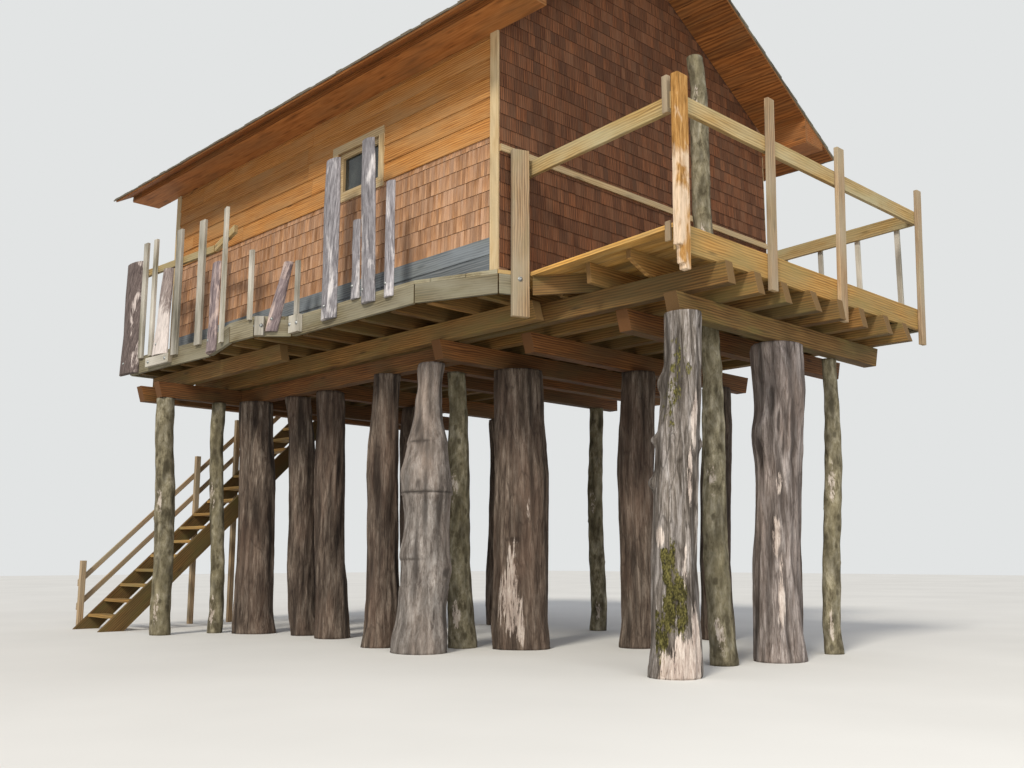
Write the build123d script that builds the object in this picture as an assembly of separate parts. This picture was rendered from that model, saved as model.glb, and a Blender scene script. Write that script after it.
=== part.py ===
"""A timber cabin with a porch, on a platform carried by barked tree trunks.

Millimetres, +Z up, all feet on Z = 0. Places are written from a datum by the porch's near corner:
+X runs along the porch's open front edge, +Y runs back along the cabin's long side.
Everything is moved at the end so that the corner trunk's foot is the origin.
"""
from build123d import *
import math
import os

# Driving sizes: the frame, from the ground up
TRUNK_TOP = 3000        # underside of the main beams
TRUNK_SIDES = 14
BEAM_H, BEAM_W = 200, 140
JOIST_H, JOIST_W = 200, 110
DECK_JOIST_H, DECK_JOIST_W = 190, 90
BOARD_T = 40            # decking
FASCIA_T = 45
FASCIA_GAP = 6          # between neighbouring edge boards
JOIST_STEP, DECK_JOIST_STEP = 470, 525
JOIST_OVERHANG = 110    # floor joists past the porch's front edge
FIRST_JOIST = 390
FIRST_DECK_JOIST = 520
JOIST_NOSE, JOIST_SLANT = 80, 260   # end of the first deck joist
JOIST_CUT, JOIST_CLEAR = 15, 30     # ends of the other ones, at the left edge
SIDE_JOIST_CUT = 60
SIDE_JOISTS = ((200, 1800), (-430, 5300))   # X, and Y of the near end

# Driving sizes: the platform
PORCH_W = 4450          # datum to the right edge
FRONT_Y = -140          # the open front edge
PORCH_D = 2040          # front edge to cabin wall
SKEW = 220              # how far the porch's side edges draw to the left at the front
CABIN_L = 6700          # cabin along Y
WALKWAY = 590           # ledge beside the long wall, at its widest facets
NOTCH = 330             # how far the widest facet stands past the next one

# Driving sizes: the cabin
WALL_T = 120
WALL_H = 2740           # outer face of the long walls, from the deck to the roof
ROOF_PITCH = 30
ROOF_T = 60
EAVE = 640              # roof past the walls, on all four sides
SOFFIT_H = 2430         # underside of the boxed eaves above the deck
SOFFIT_W, SOFFIT_T = 400, 20
RIDGE_BEAM_W, RIDGE_BEAM_H = 140, 180
TAIL_W, TAIL_H = 70, 120    # rafter tails
TAIL_COUNT = 9
TAIL_CLEAR = 20         # between a corner board and the next rafter tail
WINDOW_W, WINDOW_H, SILL_H = 800, 520, 1400
WINDOW_Y = 1900         # front wall to the window
FRAME_W = 60            # window frame
FRAME_SET = 20          # window frame back from the wall's faces
GLASS_T = 6
CORNER_BOARD_W, CORNER_BOARD_T = 110, 25
DOOR_W, DOOR_H, DOOR_T = 820, 2000, 45
DOOR_X = 850            # ridge to the door

# Driving sizes: rails and stair
RAIL_H = 1130           # porch rail top above the deck
RAIL_D, RAIL_T = 150, 45
RAIL_SET = 40           # left rail in from the deck's edge
HANGING_W, HANGING_T = 175, 55      # the post that hangs past the deck's left edge
HANGING_AT = 10         # along its facet
HANGING_DROP, HANGING_TOP = 450, 1200
END_PICKETS = 4
END_PICKET_W, END_PICKET_T = 60, 30
PICKET_TOP = 1560       # tops of the side rail's pickets above the deck
SIDE_RAIL_H, SIDE_RAIL_D, SIDE_RAIL_T = 1190, 90, 50
PICKET_T = 40
BLOCK_T = 60            # blocks bolted to the platform's edge
STAIR_W = 860
STAIR_RUN = 3800
RISERS = 18
TREAD_T = 40
STRINGER_H, STRINGER_T = 240, 45
LANDING_L = 1200
TREAD_D, TREAD_NOSE = 225, 20
STAIR_GAP = 70          # stair clear of the platform's end
STAIR_POSTS = (75, 1705, 2345, 3475)    # from the stair's foot
STAIR_POST_W, STAIR_POST_H = 70, 850
STAIR_RAILS = (180, 500)    # undersides above the pitch line
STAIR_RAIL_H, STAIR_RAIL_T = 90, 35
LANDING_BEAM_H, LANDING_POST_W = 150, 100
LANDING_GAP = 5         # stair to the landing's first post
DOOR_SIDE = 100         # landing past the door's near side

# Levels
JOIST_Z = TRUNK_TOP + BEAM_H
DECK_JOIST_Z = JOIST_Z + JOIST_H
BOARD_Z = DECK_JOIST_Z + DECK_JOIST_H
DECK = BOARD_Z + BOARD_T

# Cabin faces
CABIN_X0 = -250
CABIN_X1 = PORCH_W - 50
CABIN_Y0 = FRONT_Y + PORCH_D
CABIN_Y1 = CABIN_Y0 + CABIN_L
RIDGE_X = (CABIN_X0 + CABIN_X1) / 2
SLOPE = math.tan(math.radians(ROOF_PITCH))
END_Y = CABIN_Y1 + 50   # far edge of the platform

# Platform's faceted left edge, from the near corner to the far one
LEFT_EDGE = [
    (20 - SKEW, FRONT_Y),
    (20, CABIN_Y0 - 120),
    (CABIN_X0 - 20, CABIN_Y0 - 10),
    (-WALKWAY, CABIN_Y0 + 850),
    (-WALKWAY - 20, CABIN_Y0 + 3000),
    (-WALKWAY - NOTCH, CABIN_Y0 + 3300),
    (-WALKWAY - NOTCH - 20, CABIN_Y0 + 3800),
    (-WALKWAY - 120, CABIN_Y0 + 4700),
    (-WALKWAY - 230, END_Y),
]

# Trunks: name, place, widths at the foot, middle and top, lean of the top along X and Y
CORNER_TRUNK = (188, 300)
TRUNKS = {
    "corner_trunk": [(*CORNER_TRUNK, 460, 380, 335, 105, -102)],
    "front_trunk": [(1965, 445, 500, 440, 500, 90, -85)],
    "bare_trunk": [(1240, 3120, 600, 570, 520, 0, 20)],
    "knobbly_trunk": [(147, 3474, 590, 470, 280, 85, -10)],
    "left_trunks": [
        (280, 4330, 430, 360, 320, 33, 46),
        (644, 5778, 440, 380, 360, -90, 60),
        (680, 6440, 360, 330, 320, -160, 40),
        (425, 7197, 540, 460, 420, -55, 53),
    ],
    "right_trunks": [
        (3200, 1120, 400, 360, 340, 0, -50),
        (2250, 2330, 450, 410, 390, 0, -30),
        (3800, 2400, 420, 380, 360, 0, -100),
        (3950, 6300, 450, 420, 400, 0, -60),
        (3900, 8150, 480, 450, 420, 0, 0),
        (2200, 6150, 440, 400, 380, 0, 40),
        (2100, 8200, 420, 380, 360, 0, -40),
    ],
    "poles": [
        (840, 3640, 330, 275, 210, -56, 54),
        (3010, 467, 190, 175, 150, 53, -111),
        (-610, 7690, 250, 240, 220, -80, 40),
        (83, 7581, 200, 190, 180, -83, 71),
        (4010, 4460, 240, 220, 200, 0, 0),
    ],
}
NEAR_POLE = (1266, 582, 260, 225, 190, 40, 60)      # stands up to the floor joists
PORCH_TRUNK = (1306, 642, 200, 185, 165, -80, 0)    # the same pole above the deck
PORCH_TRUNK_H = 2200

# Beams on the trunks, by the place of their middle line
FRONT_BEAM_Y = 280
SECOND_BEAM_Y = 980
FRONT_BEAM = (230, 3840)    # its two ends
SECOND_BEAM = 420           # its left end
MIDDLE_BEAMS = ((2300, 500), (3200, 60))    # Y, and X of the left end
REAR_BEAMS_Y = (3700, 4460, 6200)           # these butt the left beam
END_BEAMS_Y = (7700, 8200)
LEFT_BEAM_X = 400
BEAM_CUT = 60           # how far a beam's end is sawn back below
END_BEAM_REACH = 40     # end beams past the left edge

# Front edge posts: X of the foot, width, depth, reach below and above the deck, lean to the right
FRONT_POSTS = (
    (-270, 145, 75, 410, 1260, 25),
    (1110, 105, 45, 340, 1500, 65),
    (2336, 130, 45, 420, 1380, 95),
    (PORCH_W - 375, 100, 45, 400, 1380, 120),
)
CORNER_NOTCHES = ((45, 215), (75, 365))     # width, and top below the deck, of the corner post's broken foot

# Studs by the corner post: place along the left edge, thickness, stand-out, bottom and top above the deck
STUDS = ((60, 25, 0, -150, 20), (70, 50, -RAIL_SET, RAIL_H - RAIL_D - 20, 1290))
STUD_W = 60

# Diagonal joist at the porch's back left corner: near and far X, and inset of its far end from the cabin
BRACE_X = (30, 405)
BRACE_SET = 165

# Side rail slabs: Y from the cabin's front, widths at foot and top, depth, reach below and above the deck, lean
SIDE_SLABS = (
    (6690, 460, 420, 100, 220, 1330, 1),
    (5890, 360, 220, 80, 60, 1080, 6),
    (4510, 350, 290, 80, 220, 880, 5),
    (3135, 150, 110, 50, 180, 630, 12),
    (2270, 280, 270, 70, 160, 1640, 0),
    (1810, 140, 130, 40, 20, 840, 0),
    (1580, 230, 220, 60, 100, 1690, -2),
    (1240, 150, 140, 45, 100, 1120, 0),
)

# Section of such a slab: share of its half width, share of its depth
SLAB_PROFILE = (
    (-1, 0), (1, 0), (1, 0.25), (0.8, 0.6), (0.42, 0.9), (0, 1), (-0.42, 0.9), (-0.8, 0.6), (-1, 0.25),
)

# Pickets of the side rail: Y from the cabin's front, width, reach below and above the deck
SIDE_PICKETS = (
    (6390, 100, 40, PICKET_TOP),
    (6130, 80, 40, PICKET_TOP),
    (5510, 130, 110, PICKET_TOP),
    (4950, 130, 60, PICKET_TOP),
    (4090, 110, 180, PICKET_TOP - 80),
    (3360, 60, 40, PICKET_TOP / 2),
    (2890, 60, 10, 620),
)

# Blocks bolted to the edge: Y from the cabin's front, width, top and bottom below the deck
EDGE_BLOCKS = ((5890, 590, 70, 190), (3250, 105, 10, 230), (2890, 190, 10, 210))
SIDE_RAIL_FACETS = (6, 7)

parts = {}


def add(name, solid):
    """Put one more solid into a named sub-part."""
    parts.setdefault(name, []).append(solid)


def block(x0, x1, y0, y1, z0, z1):
    """A sawn timber between two corners."""
    return Pos(x0, y0, z0) * Box(x1 - x0, y1 - y0, z1 - z0, align=(Align.MIN, Align.MIN, Align.MIN))


def prism_along_y(profile, y0, y1):
    """A profile drawn in X and Z, carried from y0 to y1."""
    plane = Plane(origin=(0, y0, 0), x_dir=(1, 0, 0), z_dir=(0, -1, 0))
    return extrude(plane * make_face(Polyline(*profile, close=True)), -(y1 - y0))


def prism_along_x(profile, x0, x1):
    """A profile drawn in Y and Z, carried from x0 to x1."""
    plane = Plane(origin=(x0, 0, 0), x_dir=(0, 1, 0), z_dir=(1, 0, 0))
    return extrude(plane * make_face(Polyline(*profile, close=True)), x1 - x0)


def slab(outline, z0, z1):
    """A flat piece of the given outline between two levels."""
    return extrude(Pos(0, 0, z0) * make_face(Polyline(*outline, close=True)), z1 - z0)


def trunk(x, y, foot, middle, top, lean_x, lean_y, height, turn):
    """A barked trunk: uneven many-sided sections from a flared foot to a flat sawn top."""
    levels = ((0, foot), (0.09, 0.5 * (foot + middle)), (0.3, middle), (0.62, middle), (0.85, top), (1, top))
    sections = []
    for i, (share, width) in enumerate(levels):
        points = []
        for k in range(TRUNK_SIDES):
            angle = k * 2 * math.pi / TRUNK_SIDES
            swell = 1 + 0.05 * math.sin(2 * angle + turn) + 0.035 * math.sin(3 * angle + 2 * turn)
            radius = width / 2 * swell
            points.append((radius * math.cos(angle), radius * math.sin(angle)))
        sway = 14 * math.sin(1.7 * i + turn)
        place = Pos(x + lean_x * share + sway, y + lean_y * share - sway, height * share)
        sections.append(place * make_face(Polyline(*points, close=True)))
    return loft(sections, ruled=True)


def make_trunks():
    turn = 0.4
    for name, rows in TRUNKS.items():
        for x, y, foot, middle, top, lean_x, lean_y in rows:
            add(name, trunk(x, y, foot, middle, top, lean_x, lean_y, TRUNK_TOP, turn))
            turn += 1.3
    add("poles", trunk(*NEAR_POLE, JOIST_Z, turn))
    add("porch_trunk", Pos(0, 0, DECK) * trunk(*PORCH_TRUNK, PORCH_TRUNK_H, turn))


def beam_x(y, x0, x1, cut=BEAM_CUT):
    """A main beam along X, its ends sawn back below."""
    profile = [(x0, JOIST_Z), (x0 + cut, TRUNK_TOP), (x1 - cut, TRUNK_TOP), (x1, JOIST_Z)]
    return prism_along_y(profile, y - BEAM_W / 2, y + BEAM_W / 2)


def make_beams():
    add("front_beam", beam_x(FRONT_BEAM_Y, *FRONT_BEAM))
    add("cross_beams", beam_x(SECOND_BEAM_Y, SECOND_BEAM, right_x(SECOND_BEAM_Y) - FASCIA_T))
    x1 = PORCH_W - FASCIA_T
    for y, x0 in MIDDLE_BEAMS:
        add("cross_beams", beam_x(y, x0, x1))
    right_face = LEFT_BEAM_X + BEAM_W / 2
    for y in REAR_BEAMS_Y:
        add("cross_beams", beam_x(y, right_face, x1, 0))
    for y in END_BEAMS_Y:
        add("end_beams", beam_x(y, LEFT_EDGE[-1][0] - END_BEAM_REACH, x1))
    y0 = MIDDLE_BEAMS[-1][0] + BEAM_W / 2
    y1 = END_BEAMS_Y[0] - BEAM_W / 2
    add("left_beam", block(right_face - BEAM_W, right_face, y0, y1, TRUNK_TOP, JOIST_Z))


def joist_y(x, y0, y1, cut):
    """A floor joist along Y, its near end sawn back at the top."""
    profile = [(y0 + cut, DECK_JOIST_Z), (y0, JOIST_Z), (y1, JOIST_Z), (y1, DECK_JOIST_Z)]
    return prism_along_x(profile, x - JOIST_W / 2, x + JOIST_W / 2)


def deck_joist(left, y, slant, nose):
    """A joist along X under the boards, its left end sawn back from a square nose."""
    right = right_x(y) - FASCIA_T
    profile = [(left, BOARD_Z), (left + slant, DECK_JOIST_Z), (right, DECK_JOIST_Z), (right, BOARD_Z)]
    if nose:
        profile.insert(1, (left, BOARD_Z - nose))
    return prism_along_y(profile, y, y + DECK_JOIST_W)


def make_joists():
    x = FIRST_JOIST
    turn = 0
    while x < right_x(FRONT_Y) - JOIST_W:
        reach = JOIST_OVERHANG - 15 * (turn % 3)
        add("floor_joists", joist_y(x, FRONT_Y - reach, END_Y - FASCIA_T, 30 + 10 * (turn % 4)))
        x += JOIST_STEP
        turn += 1
    for x, y in SIDE_JOISTS:
        add("floor_joists", joist_y(x, y, END_Y - FASCIA_T, SIDE_JOIST_CUT))
    near, far = BRACE_X
    y0 = CABIN_Y0 - BRACE_SET
    y1 = FIRST_DECK_JOIST + DECK_JOIST_STEP + DECK_JOIST_W
    wide = FASCIA_T * math.hypot(far - near, y0 - y1) / (y0 - y1)
    brace = [(near, y0), (far, y1), (far + wide, y1), (near + wide, y0)]
    add("deck_joists", slab(brace, DECK_JOIST_Z, BOARD_Z))
    y = FIRST_DECK_JOIST
    while y < END_Y - FASCIA_T - DECK_JOIST_W:
        left = edge_x(y + DECK_JOIST_W / 2) + FASCIA_T
        if y > CABIN_Y0:
            add("deck_joists", deck_joist(left + JOIST_CLEAR, y, JOIST_CUT, 0))
        elif y > y1:
            left = near + wide + (far - near) * (y0 - y) / (y0 - y1)
            add("deck_joists", deck_joist(left + FASCIA_GAP, y, 0, 0))
        elif y == FIRST_DECK_JOIST:
            add("deck_joists", deck_joist(left, y, JOIST_SLANT, JOIST_NOSE))
        else:
            add("deck_joists", deck_joist(left, y, JOIST_CUT, 0))
        y += DECK_JOIST_STEP


def right_x(y):
    """Where the right edge lies at a given Y."""
    return PORCH_W - SKEW * max(0, CABIN_Y0 - y) / PORCH_D


def edge_x(y):
    """Where the left edge lies at a given Y."""
    for (xa, ya), (xb, yb) in zip(LEFT_EDGE[:-1], LEFT_EDGE[1:]):
        if ya <= y <= yb:
            return xa + (xb - xa) * (y - ya) / (yb - ya)
    return LEFT_EDGE[-1][0]


def facet(index):
    """Start, direction and length of one facet of the left edge."""
    (xa, ya), (xb, yb) = LEFT_EDGE[index], LEFT_EDGE[index + 1]
    length = math.hypot(xb - xa, yb - ya)
    return xa, ya, (xb - xa) / length, (yb - ya) / length, length


def at_facet(solid, index, along):
    """Stand a piece at a facet: its +X runs along the edge and its +Y points out of the platform."""
    xa, ya, dx, dy, length = facet(index)
    angle = math.degrees(math.atan2(dy, dx))
    return Pos(xa + dx * along, ya + dy * along, 0) * Rot(0, 0, angle) * solid


def at_edge(solid, y):
    """Stand a piece at the left edge at a given Y."""
    for index in range(len(LEFT_EDGE) - 1):
        ya, yb = LEFT_EDGE[index][1], LEFT_EDGE[index + 1][1]
        if ya <= y <= yb:
            return at_facet(solid, index, facet(index)[4] * (y - ya) / (yb - ya))


def edge_board(index, z0, z1, thickness, gap):
    """A board inside one facet, its ends mitred and kept a gap from the next board."""
    length = facet(index)[4]
    outline = [(gap, 0), (length - gap, 0), (length - gap - thickness / 2, -thickness),
               (gap + thickness / 2, -thickness)]
    return at_facet(slab(outline, z0, z1), index, 0)


def make_platform():
    edge = (edge_x(CABIN_Y0), CABIN_Y0)
    corner = (right_x(FRONT_Y), FRONT_Y)
    porch = [LEFT_EDGE[0], corner, (PORCH_W, CABIN_Y0), edge, LEFT_EDGE[2], LEFT_EDGE[1]]
    add("porch_deck", slab(porch, BOARD_Z, DECK))
    add("cabin_floor", block(CABIN_X0, PORCH_W, CABIN_Y0, END_Y, BOARD_Z, DECK))
    add("walkway_deck", slab([(CABIN_X0, CABIN_Y0), edge] + LEFT_EDGE[3:] + [(CABIN_X0, END_Y)], BOARD_Z, DECK))
    inner = PORCH_W - FASCIA_T
    far = END_Y - FASCIA_T
    behind = FRONT_Y + FASCIA_T
    add("front_fascia", block(LEFT_EDGE[0][0], corner[0], FRONT_Y, behind, DECK_JOIST_Z, BOARD_Z))
    start = right_x(behind)
    slant = [(start, behind), (PORCH_W, CABIN_Y0), (inner, CABIN_Y0), (start - FASCIA_T, behind)]
    add("right_fascia", slab(slant, DECK_JOIST_Z, BOARD_Z))
    add("right_fascia", block(inner, PORCH_W, CABIN_Y0, far, DECK_JOIST_Z, BOARD_Z))
    add("end_fascia", block(LEFT_EDGE[-1][0] + FASCIA_T, PORCH_W, far, END_Y, DECK_JOIST_Z, BOARD_Z))
    last = len(LEFT_EDGE) - 2
    for index in range(1, last):
        add("left_fascia", edge_board(index, DECK_JOIST_Z, BOARD_Z, FASCIA_T, FASCIA_GAP))
    end = facet(last)[4] - FASCIA_T - FASCIA_GAP
    outline = [(FASCIA_GAP, 0), (end, 0), (end, -FASCIA_T), (FASCIA_GAP + FASCIA_T / 2, -FASCIA_T)]
    add("left_fascia", at_facet(slab(outline, DECK_JOIST_Z, BOARD_Z), last, 0))


def roof_under(x):
    """Underside of the roof at a given X."""
    run = x - CABIN_X0 if x <= RIDGE_X else CABIN_X1 - x
    return DECK + WALL_H + run * SLOPE


def mirrored(profile):
    """The same profile on the other side of the ridge."""
    return [(2 * RIDGE_X - x, z) for x, z in profile]


def window_hole(x0, x1, rim):
    """The space of a side window between two values of X, a rim inside its wall opening."""
    y0 = CABIN_Y0 + WINDOW_Y
    z0 = DECK + SILL_H
    return block(x0, x1, y0 + rim, y0 + WINDOW_W - rim, z0 + rim, z0 + WINDOW_H - rim)


def make_walls():
    half = RIDGE_BEAM_W / 2
    ridge_top = roof_under(RIDGE_X - half)
    xa, xb, z0 = RIDGE_X - half, RIDGE_X + half, ridge_top - RIDGE_BEAM_H
    add("ridge_beam", block(xa, xb, CABIN_Y0 - EAVE, CABIN_Y1 + EAVE, z0, ridge_top))
    inner = CABIN_X0 + WALL_T
    left = [(CABIN_X0, DECK), (inner, DECK), (inner, roof_under(inner)), (CABIN_X0, roof_under(CABIN_X0))]
    add("left_wall", prism_along_y(left, CABIN_Y0, CABIN_Y1) - window_hole(CABIN_X0, inner, 0))
    far = CABIN_X1 - WALL_T
    add("right_wall", prism_along_y(mirrored(left), CABIN_Y0, CABIN_Y1) - window_hole(far, CABIN_X1, 0))
    gable = [(inner, DECK), (far, DECK), (far, roof_under(far)), (RIDGE_X, roof_under(RIDGE_X)),
             (inner, roof_under(inner))]
    notch = block(xa, xb, CABIN_Y0, CABIN_Y1, z0, roof_under(RIDGE_X))
    add("front_wall", prism_along_y(gable, CABIN_Y0, CABIN_Y0 + WALL_T) - notch)
    door_x = RIDGE_X + DOOR_X
    doorway = block(door_x, door_x + DOOR_W, CABIN_Y1 - WALL_T, CABIN_Y1, DECK, DECK + DOOR_H)
    add("end_wall", prism_along_y(gable, CABIN_Y1 - WALL_T, CABIN_Y1) - notch - doorway)
    door_y = CABIN_Y1 - WALL_T / 2
    add("door", block(door_x, door_x + DOOR_W, door_y, door_y + DOOR_T, DECK, DECK + DOOR_H))
    for x0 in (CABIN_X0, far):
        middle = x0 + WALL_T / 2
        frame = window_hole(x0 + FRAME_SET, x0 + WALL_T - FRAME_SET, 0) - window_hole(x0, x0 + WALL_T, FRAME_W)
        add("window_frames", frame)
        add("window_glass", window_hole(middle - GLASS_T / 2, middle + GLASS_T / 2, FRAME_W))
    for x in (CABIN_X0 - CORNER_BOARD_T, CABIN_X1):
        for y in (CABIN_Y0, CABIN_Y1 - CORNER_BOARD_W):
            add("corner_boards", block(x, x + CORNER_BOARD_T, y, y + CORNER_BOARD_W, DECK, DECK + SOFFIT_H))


def make_roof():
    y0, y1 = CABIN_Y0 - EAVE, CABIN_Y1 + EAVE
    rise = ROOF_T / math.cos(math.radians(ROOF_PITCH))
    eave_x = CABIN_X0 - EAVE
    low, high = roof_under(eave_x), roof_under(RIDGE_X)
    left = [(eave_x, low), (RIDGE_X, high), (RIDGE_X, high + rise), (eave_x, low + rise)]
    add("roof_left", prism_along_y(left, y0, y1))
    add("roof_right", prism_along_y(mirrored(left), y0, y1))
    wall = CABIN_X0
    tip = wall - SOFFIT_W + SOFFIT_T
    tail = [(wall, roof_under(wall) - TAIL_H), (wall, roof_under(wall)), (tip, roof_under(tip)),
            (tip, roof_under(tip) - TAIL_H / 2)]
    first = CABIN_Y0 + CORNER_BOARD_W + TAIL_CLEAR
    step = (CABIN_L - 2 * (CORNER_BOARD_W + TAIL_CLEAR) - TAIL_W) / (TAIL_COUNT - 1)
    for i in range(TAIL_COUNT):
        y = first + i * step
        add("rafter_tails", prism_along_y(tail, y, y + TAIL_W))
        add("rafter_tails", prism_along_y(mirrored(tail), y, y + TAIL_W))
    top = DECK + SOFFIT_H + SOFFIT_T

    def under(xa, xb):
        return [(xa, top), (xb, top), (xb, roof_under(xb)), (xa, roof_under(xa))]

    outer = wall - SOFFIT_W
    boards = [([(outer, DECK + SOFFIT_H), (wall, DECK + SOFFIT_H), (wall, top), (outer, top)], y0, y1),
              (under(outer, tip), y0, y1)]
    for ya, yb in ((y0, y0 + SOFFIT_T), (y1 - SOFFIT_T, y1)):
        boards.append((under(tip, wall - SOFFIT_T), ya, yb))
    for ya, yb in ((y0, CABIN_Y0), (CABIN_Y1, y1)):
        boards.append((under(wall - SOFFIT_T, wall), ya, yb))
    for profile, ya, yb in boards:
        add("eave_soffits", prism_along_y(profile, ya, yb))
        add("eave_soffits", prism_along_y(mirrored(profile), ya, yb))


def make_porch_rails():
    top = DECK + RAIL_H
    behind = FRONT_Y + RAIL_T
    for x, width, depth, low, high, lean in FRONT_POSTS:
        z0, z1 = DECK - low, DECK + high
        profile = [(x, z0), (x + width, z0), (x + width + lean, z1), (x + lean, z1)]
        post = prism_along_y(profile, FRONT_Y - depth, FRONT_Y)
        if x == FRONT_POSTS[0][0]:
            for wide, below in CORNER_NOTCHES:
                post -= block(x - wide, x + wide, FRONT_Y - depth, FRONT_Y, z0, DECK - below)
        add("porch_posts", post)
    for along, thick, out, low, high in STUDS:
        stud = block(along, along + STUD_W, out, out + thick, DECK + low, DECK + high)
        add("porch_posts", at_facet(stud, 0, 0))
    hanging = block(HANGING_AT, HANGING_AT + HANGING_W, 0, HANGING_T, DECK - HANGING_DROP, DECK + HANGING_TOP)
    add("porch_posts", at_facet(hanging, 1, 0))
    add("front_rail", block(LEFT_EDGE[0][0], right_x(FRONT_Y), FRONT_Y, behind, top - RAIL_D, top))
    xa, ya, dx, dy = facet(0)[:4]
    lines = []
    for inset in (RAIL_SET, RAIL_SET + RAIL_T):
        lines.append([(xa + (y - ya) * dx / dy + inset / dy, y) for y in (behind, CABIN_Y0)])
    add("porch_side_rails", slab([*lines[0], *lines[1][::-1]], top - RAIL_D, top))
    right = [(right_x(behind), behind), (PORCH_W, CABIN_Y0), (PORCH_W - RAIL_T, CABIN_Y0),
             (right_x(behind) - RAIL_T, behind)]
    add("porch_side_rails", slab(right, top - RAIL_D, top))
    turn = math.degrees(math.atan(SKEW / PORCH_D))
    for i in range(END_PICKETS):
        y = FRONT_Y + (i + 0.5) * PORCH_D / END_PICKETS
        picket = block(0, END_PICKET_T, -END_PICKET_W / 2, END_PICKET_W / 2, DECK_JOIST_Z, top)
        add("rail_pickets", Pos(right_x(y), y, 0) * Rot(0, 0, -turn) * picket)


def waney_slab(foot, head, depth, low, high, lean):
    """A slab sawn from the outside of a log: flat back, round front, edges that wander with height."""
    sections = []
    for i, share in enumerate((0, 0.35, 0.7, 1)):
        half = (foot + (head - foot) * share) / 2 * (1 + 0.06 * math.sin(2.4 * i + foot))
        bulge = depth * (1 - 0.15 * (i % 2))
        outline = [(half * across, bulge * out) for across, out in SLAB_PROFILE]
        z = -low + (low + high) * share
        place = Pos(-z * math.tan(math.radians(lean)), 0, DECK + z)
        sections.append(place * make_face(Polyline(*outline, close=True)))
    return loft(sections, ruled=True)


def make_side_rail():
    for y, foot, head, depth, low, high, lean in SIDE_SLABS:
        add("side_slabs", at_edge(waney_slab(foot, head, depth, low, high, lean), CABIN_Y0 + y))
    for y, width, low, high in SIDE_PICKETS:
        picket = block(-width / 2, width / 2, 0, PICKET_T, DECK - low, DECK + high)
        add("rail_pickets", at_edge(picket, CABIN_Y0 + y))
    for y, width, top, bottom in EDGE_BLOCKS:
        bolted = block(-width / 2, width / 2, 0, BLOCK_T, DECK - bottom, DECK - top)
        add("edge_blocks", at_edge(bolted, CABIN_Y0 + y))
    for index in SIDE_RAIL_FACETS:
        top = DECK + SIDE_RAIL_H
        add("side_rail", edge_board(index, top - SIDE_RAIL_D, top, SIDE_RAIL_T, FASCIA_GAP))


def along_stair(x0, pitch, low, high, xa, xb, y, thickness):
    """A board that follows the stair's pitch line, between two heights above it."""
    profile = [(x, (x - x0) * pitch + h) for x, h in ((xa, low), (xb, low), (xb, high), (xa, high))]
    return prism_along_y(profile, y, y + thickness)


def make_stair():
    y0 = END_Y + STAIR_GAP
    y1 = y0 + STAIR_W
    x1 = RIDGE_X + DOOR_X - DOOR_SIDE
    x0 = x1 - STAIR_RUN
    pitch = DECK / STAIR_RUN
    drop = STRINGER_H / math.cos(math.atan(pitch))
    profile = [(x0, 0), (x0 + drop / pitch, 0), (x1, DECK - drop), (x1, DECK)]
    for y in (y0, y1 - STRINGER_T):
        add("stair_stringers", prism_along_y(profile, y, y + STRINGER_T))
    for i in range(1, RISERS):
        z = i * DECK / RISERS
        nose = x0 + z / pitch - TREAD_NOSE
        add("stair_treads", block(nose, nose + TREAD_D, y0 + STRINGER_T, y1 - STRINGER_T, z - TREAD_T, z))
    outer = y1 + STAIR_POST_W
    for offset in STAIR_POSTS:
        x = x0 + offset
        add("stair_posts", block(x, x + STAIR_POST_W, y1, outer, 0, offset * pitch + STAIR_POST_H))
    first, last = x0 + STAIR_POSTS[0], x0 + STAIR_POSTS[-1] + STAIR_POST_W
    for z in STAIR_RAILS:
        add("stair_rails", along_stair(x0, pitch, z, z + STAIR_RAIL_H, first, last, outer, STAIR_RAIL_T))
    x2 = x1 + LANDING_L
    beam_z = BOARD_Z - LANDING_BEAM_H
    add("landing_deck", block(x1, x2, END_Y, y1, BOARD_Z, DECK))
    add("landing_beams", block(x1, x2, END_Y, END_Y + STRINGER_T, beam_z, BOARD_Z))
    add("landing_beams", block(x1, x2, y1 - LANDING_POST_W, y1, beam_z, BOARD_Z))
    for x in (x1 + LANDING_GAP, x2 - LANDING_POST_W):
        add("landing_posts", block(x, x + LANDING_POST_W, y1 - LANDING_POST_W, y1, 0, beam_z))
    inner = x2 - STAIR_POST_W
    for x in (x1 + STAIR_POST_W, inner):
        add("stair_posts", block(x, x + STAIR_POST_W, y1, outer, beam_z, DECK + RAIL_H))
    add("stair_posts", block(inner, x2, END_Y, END_Y + STAIR_POST_W, DECK, DECK + RAIL_H))
    for z in (DECK + RAIL_H / 2, DECK + RAIL_H - STAIR_RAIL_H):
        add("stair_rails", block(x1 + STAIR_POST_W, x2, outer, outer + STAIR_RAIL_T, z, z + STAIR_RAIL_H))
        add("stair_rails", block(x2, x2 + STAIR_RAIL_T, END_Y, y1, z, z + STAIR_RAIL_H))


make_trunks()
make_beams()
make_joists()
make_platform()
make_walls()
make_roof()
make_porch_rails()
make_side_rail()
make_stair()

to_origin = Pos(-CORNER_TRUNK[0], -CORNER_TRUNK[1], 0)
os.makedirs("parts", exist_ok=True)
for name, solids in parts.items():
    export_step(to_origin * Compound(children=solids), "parts/" + name + ".step")
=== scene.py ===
import math
import random

import bmesh
import bpy
import numpy as np
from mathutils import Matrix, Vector, noise
from mathutils.bvhtree import BVHTree


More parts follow.
